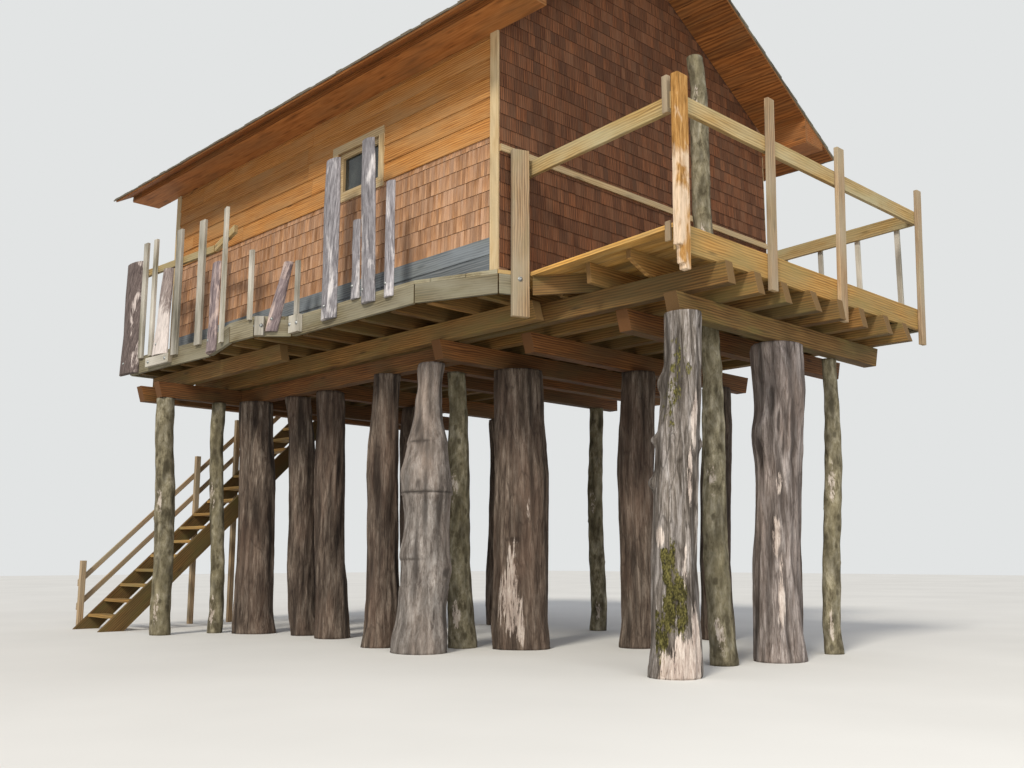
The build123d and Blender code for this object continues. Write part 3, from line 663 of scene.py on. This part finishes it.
knobbly_style = dict(
    fibrous, levels=170, sides=90, fibre=0.004, ridge=0.004, lump=0.02, lump_pitch=3.4,
    rings=0.006, ring_pitch=13, most=0.06,
    knots=((1.80, 150, 0.15, 0.05), (1.72, 235, 0.12, 0.02), (0.95, 150, 0.17, 0.045),
           (0.86, 296, 0.11, 0.045), (2.12, 250, 0.1, 0.02), (0.3, 225, 0.2, 0.02)),
    steps=((1.62, 0.016), (2.15, 0.010), (0.94, 0.008), (0.68, -0.010)),
    cracks=((1.62, 215, 0.014, 90, 0.9), (2.15, 190, 0.02, 40, 0.8), (0.94, 180, 0.012, 50, 0.6),
            (1.70, 208, 0.05, 8, 0.6), (0.8, 284, 0.06, 12, 0.7)))
plain_style = dict(fibrous, levels=100, sides=64)
left_style = dict(fibrous, levels=130, sides=80,
                  cracks=((1.9, 205, 0.3, 6, 0.7), (1.1, 226, 0.3, 4, 0.6)))
pole_style = dict(
    fibrous, levels=110, sides=44, fibre=0.002, ridge=0.002, lump=0.008, pitch=5.0,
    rings=0.0022, ring_pitch=21,
    knots=((1.1, 216, 0.035, 0.014), (1.85, 200, 0.03, 0.012), (0.6, 240, 0.03, 0.012),
           (2.3, 225, 0.03, 0.012), (1.45, 150, 0.03, 0.014), (0.9, 290, 0.03, 0.014)),
    moss=((0.5, 250, 0.6, 30, 0.5),),
    bare=((0.3, 210, 0.18, 20, 0.6), (1.7, 205, 0.2, 22, 0.45)))

for node, look, *styles in (
        ("corner_trunk", "bark_corner", corner_style), ("front_trunk", "bark_front", front_style),
        ("bare_trunk", "bark_brown", bare_style), ("knobbly_trunk", "bark_knobbly", knobbly_style),
        ("left_trunks", "bark_brown", left_style, plain_style),
        ("right_trunks", "bark_brown", plain_style), ("poles", "bark_pole", pole_style),
        ("porch_trunk", "bark_pole", pole_style)):
    trunk_piece(node, styles, look)


# Sawn timbers

deck_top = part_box("porch_deck")[1].z
wall_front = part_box("front_wall")[0].y
fascia_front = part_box("front_fascia")[0].y - 0.01
corner_post_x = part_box("porch_posts")[0].x + 0.3


def to_deck_top(points):
    """The front edge board covers the ends of the deck boards."""
    top = max(p.z for p in points)
    return [Vector((p.x, p.y, deck_top if p.z > top - 0.001 else p.z)) for p in points]


def as_plank(points):
    """A porch joist as the plank it is, its end a little in from the edge."""
    low, high = span(points)
    return [Vector((p.x + (JOIST_SET if p.x < low.x + 0.4 else 0), min(p.y, low.y + PLANK_T), p.z))
            for p in points]


def in_porch(low, high):
    return high.y < wall_front and high.y - low.y < 0.12


def is_corner_post(low, high):
    return low.x < corner_post_x and low.y < fascia_front


for slot, look, nodes in (
        ("frame_timber", "beam_wood", "front_beam"),
        ("frame_timber", "rear_wood", "cross_beams end_beams left_beam"),
        ("frame_timber", "joist_wood", "floor_joists"),
        ("frame_timber", "fascia_wood", "left_fascia right_fascia end_fascia"),
        ("frame_timber", "soffit_wood", "ridge_beam rafter_tails"),
        ("weathered_rail", "rail_wood", "front_rail porch_side_rails"),
        ("weathered_rail", "grey_wood", "rail_pickets"),
        ("weathered_rail", "rail_wood", "side_rail"),
        ("weathered_rail", "grey_wood", "edge_blocks"),
        ("frame_timber", "beam_wood", "stair_stringers"),
        ("decking", "front_wood", "stair_treads"),
        ("weathered_rail", "post_wood", "stair_posts stair_rails"),
        ("frame_timber", "beam_wood", "landing_beams"),
        ("frame_timber", "post_wood", "landing_posts"),
        ("painted_trim", "trim_wood", "corner_boards window_frames"),
        ("painted_trim", "siding_wood", "door")):
    for node in nodes.split():
        timbers(node, look, slot)
# The slabs of the ledge, by their distance behind the cabin's front
for name, look, start, stop in (
        ("bark_slab", "slab_bark", 6.2, 9), ("pale_slab", "slab_pale", 5.2, 6.2),
        ("violet_slabs", "slab_violet", 2.6, 5.2), ("grey_slabs", "slab_grey", 0, 2.6)):
    timbers("side_slabs", look, "weathered_rail", 0.008, 0.005, name,
            only=lambda low, high: start <= (low.y + high.y) / 2 - wall_front < stop)
timbers("front_fascia", "front_wood", "frame_timber", shape=to_deck_top)
timbers("deck_joists", "plank_wood", "frame_timber", name="porch_planks", shape=as_plank,
        only=in_porch)
timbers("deck_joists", "joist_wood", "frame_timber",
        only=lambda low, high: not in_porch(low, high))
timbers("porch_posts", "peeled_wood", "weathered_rail", 0.012, 0.004, "corner_post",
        only=is_corner_post)
timbers("porch_posts", "post_wood", "weathered_rail", 0.006, 0.002,
        only=lambda low, high: not is_corner_post(low, high))


def soffits():
    """The boxed eaves: the flat underside in three boards a side, the upright boards worn."""
    batch = Batch()
    for points, faces in solids("eave_soffits"):
        low, high = span(points)
        if high.z - low.z < 0.03:
            wide = (high.x - low.x) / 3
            for i in range(3):
                lift = random.uniform(0, 0.002)
                corner = Vector((low.x + i * wide + 0.002, low.y, low.z + lift))
                batch.board(corner, Y, high.y - low.y, X * (wide - 0.004),
                            Z * (high.z - corner.z))
        else:
            batch.add(*worn(points, faces, 0.003))
    batch.build("soffit_boards", "soffit_wood", "frame_timber", ["eave_soffits"])


soffits()


# Decking

def outline_of(node):
    """The upper outline of a flat CAD slab, in order, and the height of its underside."""
    points, faces = solids(node)[0]
    top = max(p.z for p in points)
    bm = as_bmesh(points, faces)
    face = max((f for f in bm.faces if f.calc_center_median().z > top - 1e-4),
               key=lambda f: f.calc_area())
    out = [v.co.copy() for v in face.verts]
    bm.free()
    return out, min(p.z for p in points)


def crossings(outline, along, across, at):
    """Where a line at one distance across meets the outline, in order along it."""
    found = []
    for p, q in zip(outline, outline[1:] + outline[:1]):
        a, b = p.dot(across) - at, q.dot(across) - at
        if (a < 0) != (b < 0):
            found.append(p.lerp(q, a / (a - b)).dot(along))
    return sorted(found)


def strips(outline, along, across, cuts):
    """One board's outline: for each run of strips, its cuts with where they start and end."""
    chains = []
    for a, b in zip(cuts, cuts[1:]):
        if b - a < 0.002:
            continue
        first, last = (crossings(outline, along, across, c) for c in (a + 1e-4, b - 1e-4))
        for k in range(0, min(len(first), len(last)) - 1, 2):
            start, end = (a, first[k], first[k + 1]), (b, last[k], last[k + 1])
            before = [c for c in chains if max(abs(c[-1][i] - start[i]) for i in range(3)) < 0.01]
            if before:
                before[0].append(end)
            else:
                chains.append([start, end])
    return [chain for chain in chains if max(r[2] - r[1] for r in chain) >= 0.03]


def decking(name, node, direction, front=None, look="deck_wood"):
    """Boards with gaps that fill a slab's outline, running along one direction."""
    outline, bottom = outline_of(node)
    if front is not None:
        outline = [Vector((p.x, max(p.y, front), p.z)) for p in outline]
    along = Vector(direction).normalized()
    across = Vector((along.y, -along.x, 0))
    top = outline[0].z
    reach = sorted(p.dot(across) for p in outline)
    batch = Batch()
    at = reach[0]
    while at < reach[-1] - 0.01:
        wide = DECK_BOARD * random.uniform(0.94, 1.04)
        cuts = [at + DECK_GAP / 2, min(at + wide, reach[-1]) - DECK_GAP / 2]
        cuts[1:1] = [r for r in reach if cuts[0] < r < cuts[-1]]
        drop = random.uniform(0, 0.002)
        at += wide
        for chain in strips(outline, along, across, cuts):
            flat = [across * r[0] + along * r[1] for r in chain]
            flat += [across * r[0] + along * r[2] for r in chain[::-1]]
            points = [Vector((p.x, p.y, z)) for z in (bottom, top - drop) for p in flat]
            n = len(flat)
            if n == 4:
                batch.add(*worn(points, BOX_FACES, 0.003, 0.8, 0.001, along))
            else:
                sides = [[k, (k + 1) % n, (k + 1) % n + n, k + n] for k in range(n)]
                batch.add(points, [list(range(n))[::-1], list(range(n, 2 * n))] + sides, along)
    batch.build(name, look, "decking", [node])


decking("porch_boards", "porch_deck", PORCH_LINE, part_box("front_fascia")[1].y)
decking("walkway_boards", "walkway_deck", Y, look="fascia_wood")
decking("cabin_floor_boards", "cabin_floor", Y)
decking("landing_boards", "landing_deck", X)


# Cabin cladding. A face is a wall's start, direction, outside, length and opening.

def shingle_course(batch, face, z, exposure, top, wide):
    """One course of shingles, thick at the butt, cut to the top and under the opening."""
    start, along, out, length, gap = face
    at = -random.uniform(0, 0.08)
    while at < length:
        w = random.uniform(*wide)
        a, b = max(at, 0), min(at + w, length)
        at += w
        if b - a < 0.015:
            continue
        height = min(exposure * 1.25, top(a + 0.5 * (b - a)) - z)
        if gap and a < gap[1] and b > gap[0] and z < gap[3] and z + height > gap[2]:
            height = gap[2] - z     # none at all beside the opening
        if height < 0.02:
            continue
        drop = random.uniform(-0.0015, 0.0015)
        corner = start + along * (a + 0.0015) + Z * (z + drop)
        batch.board(corner, along, b - a - 0.003, Z * (height - drop),
                    out * SHINGLE_T * random.uniform(0.93, 1.05), 0.25, Z)


def board_course(batch, face, z, ceiling):
    """One course of lapped boards, in lengths, cut round the opening and under the eave."""
    start, along, out, length, gap = face
    at = 0.0
    while at < length:
        w = random.uniform(2.2, 3.6)
        runs = [(at, min(at + w, length))]
        at += w
        if z < gap[3] and z + BOARD_COURSE * 1.08 > gap[2]:
            a, b = runs[0]
            runs = [run for run in ((a, min(b, gap[0])), (max(a, gap[1]), b))
                    if run[1] - run[0] > 0.02]
        height = min(BOARD_COURSE * 1.08, ceiling - z)
        for a, b in runs:
            batch.board(start + along * (a + 0.001) + Z * z, along, b - a - 0.002, Z * height,
                        out * BOARD_T, 0.35)


def long_wall(side):
    """Cladding of a long wall: base boards, shingles, and lapped boards up to the eave."""
    low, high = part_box(side + "_wall")
    out = Vector((-1 if side == "left" else 1, 0, 0))
    post_low, post_high = span(solids("corner_boards")[0][0])
    post = post_high.y - post_low.y
    start = Vector((low.x if side == "left" else high.x, low.y + post + 0.002, 0))
    length = high.y - low.y - 2 * post - 0.004
    pane_low, pane_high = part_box("window_glass")
    gap = (pane_low.y - start.y - 0.05, pane_high.y - start.y + 0.05, pane_low.z - 0.05,
           pane_high.z + 0.05)
    face = (start, Y, out, length, gap)
    deck = low.z
    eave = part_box("eave_soffits")[0].z - 0.002
    shingles, boards, base = Batch(), Batch(), Batch()
    for k in range(2):
        base.board(start + Z * (deck + 0.002 + BASE_COURSE * k), Y, length,
                   Z * (BASE_COURSE - 0.002), out * BASE_T, 0.7)
    z = deck + 2 * BASE_COURSE
    while z < deck + SPLIT_H - 0.02:
        shingle_course(shingles, face, z, SHINGLE_COURSE, lambda s: deck + SPLIT_H, (0.032, 0.058))
        z += SHINGLE_COURSE
    z = deck + SPLIT_H
    while z < eave - 0.02:
        board_course(boards, face, z, eave)
        z += BOARD_COURSE
    shingles.build(side + "_shingles", "shingle_wood", "wall_shingles")
    boards.build(side + "_siding", "siding_wood", "wall_shingles")
    base.build(side + "_base_board", "base_wood", "wall_shingles")


def gable_wall(end):
    """Cladding of a gable wall: shingles up to the roof, with a light trim line."""
    low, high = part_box(end + "_wall")
    left_low, left_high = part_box("left_wall")
    x0, length = left_low.x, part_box("right_wall")[1].x - left_low.x
    out = Vector((0, -1 if end == "front" else 1, 0))
    start = Vector((x0, low.y if end == "front" else high.y, 0))
    deck, slope = low.z, math.tan(ROOF_SLOPE)
    eave = left_high.z - (left_high.x - left_low.x) * slope - 0.004
    gap, bands = None, [(0.0, length)]
    if end == "end":
        door_low, door_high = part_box("door")
        gap = (door_low.x - x0 - TRIM_W, door_high.x - x0 + TRIM_W, door_low.z - 0.1,
               door_high.z + TRIM_W)
        bands = [(0.0, gap[0]), (gap[1], length)]

    def under_roof(s):
        return eave + min(s, length - s) * slope - 0.03

    shingles, trim = Batch(), Batch()
    z = deck + 0.03
    while z < eave + length / 2 * slope:
        shingle_course(shingles, (start, X, out, length, gap), z, GABLE_COURSE, under_roof,
                       (0.06, 0.14))
        z += GABLE_COURSE
    for a, b in bands:
        trim.board(start + X * a + Z * (deck + 1.18), X, b - a, Z * 0.07, out * 0.03, 0.8)
    # The front wall's shingles take the darker look, partly their own colour and partly painted
    # shade
    shingles.build(end + "_shingles", "dark_shingle_painted_shade" if end == "front" else "shingle_wood",
                   "wall_shingles")
    trim.build(end + "_trim", "trim_wood", "painted_trim")


long_wall("left")
long_wall("right")
gable_wall("front")
gable_wall("end")
for node in ("left_wall", "right_wall", "end_wall"):
    repaint(node, "shingle_wood")
# The porch wall's own mesh in the darker shingle look, partly painted shade
repaint("front_wall", "dark_shingle_painted_shade")


# Roof

def roof_axes(sign):
    """Directions up a slope of the roof and out of it: sign 1 is the left slope, -1 the right."""
    return (Vector((sign * math.cos(ROOF_SLOPE), 0, math.sin(ROOF_SLOPE))),
            Vector((-sign * math.sin(ROOF_SLOPE), 0, math.cos(ROOF_SLOPE))))


def roof_side(side):
    """One slope of the roof: boards beneath, shakes above."""
    low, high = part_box("roof_" + side)
    up, out = roof_axes(1 if side == "left" else -1)
    run, length = (high.x - low.x) / math.cos(ROOF_SLOPE), high.y - low.y
    foot = Vector((low.x if side == "left" else high.x, low.y, low.z))
    boards, shakes = Batch(), Batch()
    at = 0.0
    while at < run - 0.01:
        w = min(ROOF_BOARD * random.uniform(0.96, 1.03), run - at)
        boards.board(foot + up * (at + 0.001), Y, length, up * (w - 0.004), out * ROOF_BOARD_T)
        at += w
    for i in range(int(run / SHAKE_COURSE) + 1):
        at = i * SHAKE_COURSE - SHAKES_OVER
        reach = min(SHAKE_COURSE * 1.35, run - at - 0.002)
        lift = ROOF_BOARD_T + 0.002 + 0.006 * (i % 2)
        a = -SHAKES_OVER
        while a < length + SHAKES_OVER:
            w = random.uniform(0.09, 0.2)
            wide = min(a + w, length + SHAKES_OVER) - a
            if wide >= 0.02 and reach >= 0.03:
                slip = random.uniform(-0.012, 0.012) if i else random.uniform(-0.015, 0.005)
                corner = foot + up * (at + slip) + Y * (a + 0.002) + out * lift
                shakes.board(corner, Y, wide - 0.004, up * (reach - slip),
                             out * SHAKE_T * random.uniform(0.7, 1.3), 0.5, up)
            a += w
    boards.build("roof_boards_" + side, "soffit_wood", "roofing", ["roof_" + side])
    shakes.build("roof_shakes_" + side, "roof_wood", "roofing")


def ridge_cap():
    """Pairs of shakes over the ridge, each pair lapping the last."""
    low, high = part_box("roof_left")
    ridge = Vector((high.x, 0, low.z + (high.x - low.x) * math.tan(ROOF_SLOPE)))
    caps = Batch()
    at, count = low.y - SHAKES_OVER, 0
    while at < high.y - 0.03:
        lift = 0.036 + 0.007 * (count % 2)
        for up, out in (roof_axes(1), roof_axes(-1)):
            reach = random.uniform(0.11, 0.13)
            caps.board(ridge + Y * at - up * reach + out * lift, Y,
                       min(0.21, high.y + SHAKES_OVER - at),
                       up * (reach + lift * math.tan(ROOF_SLOPE)), out * 0.012, 0.9)
        at += 0.19
        count += 1
    caps.build("ridge_cap", "roof_wood", "roofing")


roof_side("left")
roof_side("right")
ridge_cap()


# Windows and door

def window_trim(side):
    """Trim round the window of a long wall, and the bar down its middle."""
    panes = sorted((span(points) for points, faces in solids("window_glass")),
                   key=lambda pane: pane[0].x)
    low, high = panes[0 if side == "left" else -1]
    wall_low, wall_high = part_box(side + "_wall")
    face, out = (wall_low.x, X * -0.028) if side == "left" else (wall_high.x, X * 0.028)
    edge = 0.055
    y0, y1, z0, z1 = low.y - edge, high.y + edge, low.z - edge, high.z + edge
    wide = y1 - y0 + 2 * TRIM_W
    trim = Batch()
    for y, z, along, length, across in (
            (y0 - TRIM_W, z0 - TRIM_W, Y, wide, Z), (y0 - TRIM_W, z1, Y, wide, Z),
            (y0 - TRIM_W, z0, Z, z1 - z0, Y), (y1, z0, Z, z1 - z0, Y)):
        trim.board(Vector((face, y, z)), along, length, across * TRIM_W, out)
    middle = Vector(((low.x + high.x) / 2 - 0.012, (low.y + high.y) / 2 - 0.014, low.z))
    trim.board(middle, Z, high.z - low.z, Y * 0.028, X * 0.024)
    trim.build(side + "_window_trim", "trim_wood", "painted_trim")


def door_trim():
    """Trim round the door, and its two ledges."""
    low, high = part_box("door")
    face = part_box("end_wall")[1].y
    tall = high.z - low.z + TRIM_W
    trim = Batch()
    for x, z, along, length, across in (
            (low.x - TRIM_W, low.z, Z, tall, X), (high.x, low.z, Z, tall, X),
            (low.x, high.z, X, high.x - low.x, Z)):
        trim.board(Vector((x, face, z)), along, length, across * TRIM_W, Y * 0.03)
    for z in (low.z + 0.25, high.z - 0.4):
        trim.board(Vector((low.x + 0.04, high.y, z)), X, high.x - low.x - 0.08, Z * 0.12,
                   Y * 0.02)
    trim.build("door_trim", "trim_wood", "painted_trim")


window_trim("left")
window_trim("right")
repaint("window_glass", "window_pane")
door_trim()


# Bolts

bolt_points, bolt_faces = [], []


def bolt(tree, origin, size=0.022, way=X, sunk=0.001):
    """A washer with a domed head, where a line from the origin first meets a solid."""
    place, out = tree.ray_cast(origin, way)[:2]
    if place is None:
        return
    place = place - X * sunk
    out = (out if out.x < 0 else -out).normalized()
    side = out.orthogonal().normalized()
    up = out.cross(side)
    profile = ((1, 0), (1, 0.15), (0.62, 0.2), (0.6, 0.5), (0.35, 0.68))
    count, first = 14, len(bolt_points)
    for r, h in profile:
        for k in range(count):
            a = 2 * math.pi * k / count
            bolt_points.append(place + side * (r * size * math.cos(a))
                               + up * (r * size * math.sin(a)) + out * (h * size))
    bolt_faces.extend(tube(first, len(profile) - 1, count))
    bolt_faces.append([first + (len(profile) - 1) * count + k for k in range(count)])


for points, faces in solids("edge_blocks"):
    low, high = span(points)
    centre = (low + high) / 2
    for shift in (-0.36, 0.36):
        bolt(BVHTree.FromPolygons(points, faces),
             Vector((centre.x - 1, centre.y + (high.y - low.y) * shift, centre.z)))
for points, faces in solids("side_slabs"):
    low, high = span(points)
    bolt(BVHTree.FromPolygons(points, faces),
         Vector((low.x - 1, (low.y + high.y) / 2 + 0.02, low.z + 0.14)), 0.018)
rear_post = min(solids("porch_posts"), key=lambda s: -span(s[0])[1].y)
low, high = span(rear_post[0])
middle = (low + high) / 2
bolt(BVHTree.FromPolygons(*rear_post), Vector((middle.x - 1, middle.y - 1, low.z + 0.36)), 0.024,
     Vector((1, 1, 0)), 0)
bolts = put("bolts", round_mesh("bolts", bolt_points, bolt_faces), "bolt_metal")
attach(bolts, "root")


# Floor, light and camera

FLOOR_HALF = 60
floor = new_look("floor_pale")
cloud = floor.noise(floor.scaled(floor.place(), (0.4, 0.4, 0.4)), 1.0, 3, 0.5)
floor.surface(floor.ramp(cloud, (0.3, 0.7), colours("d6d4ce dedcd6")), 0.95)
floor_mesh = bpy.data.meshes.new("floor")
floor_mesh.from_pydata([(x * FLOOR_HALF, y * FLOOR_HALF, 0)
                        for x, y in ((-1, -1), (1, -1), (1, 1), (-1, 1))], [], [(0, 1, 2, 3)])
put("floor", floor_mesh, "floor_pale")

world = bpy.data.worlds.new("studio")
bpy.context.scene.world = world
world.use_nodes = True
sky = Maker(world.node_tree)
back = sky.fill(world.node_tree.nodes["Background"],
                {"Color": (0.86, 0.9, 1.0, 1), "Strength": 0.55})
seen = sky.add("ShaderNodeBackground", {"Color": colours("e2e4e4")[0], "Strength": 1.0})
path = sky.add("ShaderNodeLightPath").outputs
eye = sky.maths("MAXIMUM", path["Is Camera Ray"], path["Is Glossy Ray"])
eye = sky.maths("MAXIMUM", eye, path["Is Transmission Ray"])
blend = sky.add("ShaderNodeMixShader",
                {"Fac": eye, 1: back.outputs["Background"], 2: seen.outputs["Background"]})
sky.fill(world.node_tree.nodes["World Output"], {"Surface": blend.outputs["Shader"]})


def lamp(name, kind, energy, place, aim, size, colour=(1, 1, 1)):
    """A lamp that shines at a place: its size is a disk's width, or the sun's angle."""
    data = bpy.data.lights.new(name, kind)
    data.energy = energy
    data.color = colour
    if kind == "AREA":
        data.shape = "DISK"
        data.size = size
    else:
        data.angle = size
    piece = bpy.data.objects.new(name, data)
    piece.location = place
    piece.rotation_euler = (Vector(aim) - Vector(place)).to_track_quat("-Z", "Y").to_euler()
    bpy.context.scene.collection.objects.link(piece)


lamp("key", "SUN", 2.6, (-14, -2, 14), (0, 4, 2), math.radians(12), (1.0, 0.95, 0.86))
lamp("fill", "AREA", 900, (-6, -12, 6), (1, 2, 3), 9)
lamp("under", "AREA", 230, (-8.5, -7.5, 1.6), (2, 3, 2.8), 7, (1.0, 0.95, 0.88))

camera_data = bpy.data.cameras.new("camera")
camera_data.sensor_width = 36
camera_data.lens = 36.56
camera_data.clip_end = 300
camera = bpy.data.objects.new("camera", camera_data)
camera.location = (-6.958, -5.3, 0.93)
pitch = math.radians(9.6)
heading = Vector((0.696 * math.cos(pitch), 0.718 * math.cos(pitch), math.sin(pitch)))
camera.rotation_euler = heading.to_track_quat("-Z", "Y").to_euler()
bpy.context.scene.collection.objects.link(camera)
bpy.context.scene.camera = camera
bpy.context.scene.view_settings.view_transform = "Standard"
